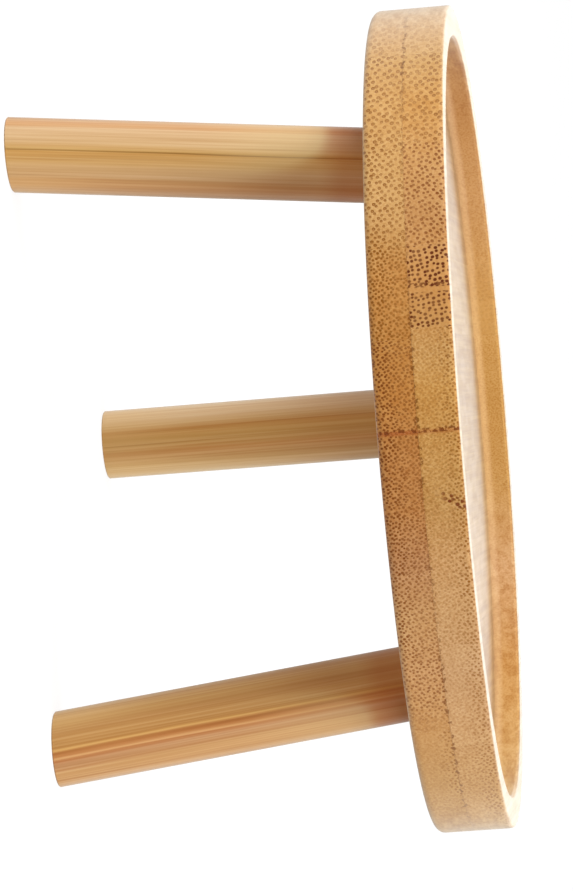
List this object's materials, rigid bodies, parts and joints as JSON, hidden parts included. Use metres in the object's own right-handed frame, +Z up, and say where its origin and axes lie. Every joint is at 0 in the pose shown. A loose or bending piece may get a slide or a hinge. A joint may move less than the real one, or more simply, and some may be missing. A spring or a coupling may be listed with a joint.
{
  "type": "three-legged round stand",
  "caption": "Small round bamboo stand: a shallow dished tray glued up from strips, raised on splayed dowel legs, that holds a mug, pot or candle.",
  "frame": {"origin": "on the surface the stand rests on, straight below the tray's centre", "axes": "+Z up, out of the dished face of the tray; +Y towards the back leg; the strips run along Y"},
  "size_m": [0.11, 0.11, 0.0576],
  "materials": {
    "upper_bamboo": "satin clear lacquer",
    "lower_bamboo": "satin clear lacquer",
    "dowel_bamboo": "satin clear lacquer"
  },
  "bodies": {
    "root": {"upper_strip_01": "upper_bamboo", "upper_strip_02": "upper_bamboo", "upper_strip_03": "upper_bamboo", "upper_strip_04": "upper_bamboo", "upper_strip_05": "upper_bamboo", "upper_strip_06": "upper_bamboo", "upper_strip_07": "upper_bamboo", "upper_strip_08": "upper_bamboo", "upper_strip_09": "upper_bamboo", "lower_strip_01": "lower_bamboo", "lower_strip_02": "lower_bamboo", "lower_strip_03": "lower_bamboo", "lower_strip_04": "lower_bamboo", "lower_strip_05": "lower_bamboo", "lower_strip_06": "lower_bamboo", "lower_strip_07": "lower_bamboo", "lower_strip_08": "lower_bamboo", "lower_strip_09": "lower_bamboo", "lower_strip_10": "lower_bamboo", "lower_strip_11": "lower_bamboo", "leg_front_left": "dowel_bamboo", "leg_front_right": "dowel_bamboo", "leg_back": "dowel_bamboo"}
  },
  "joints": []
}
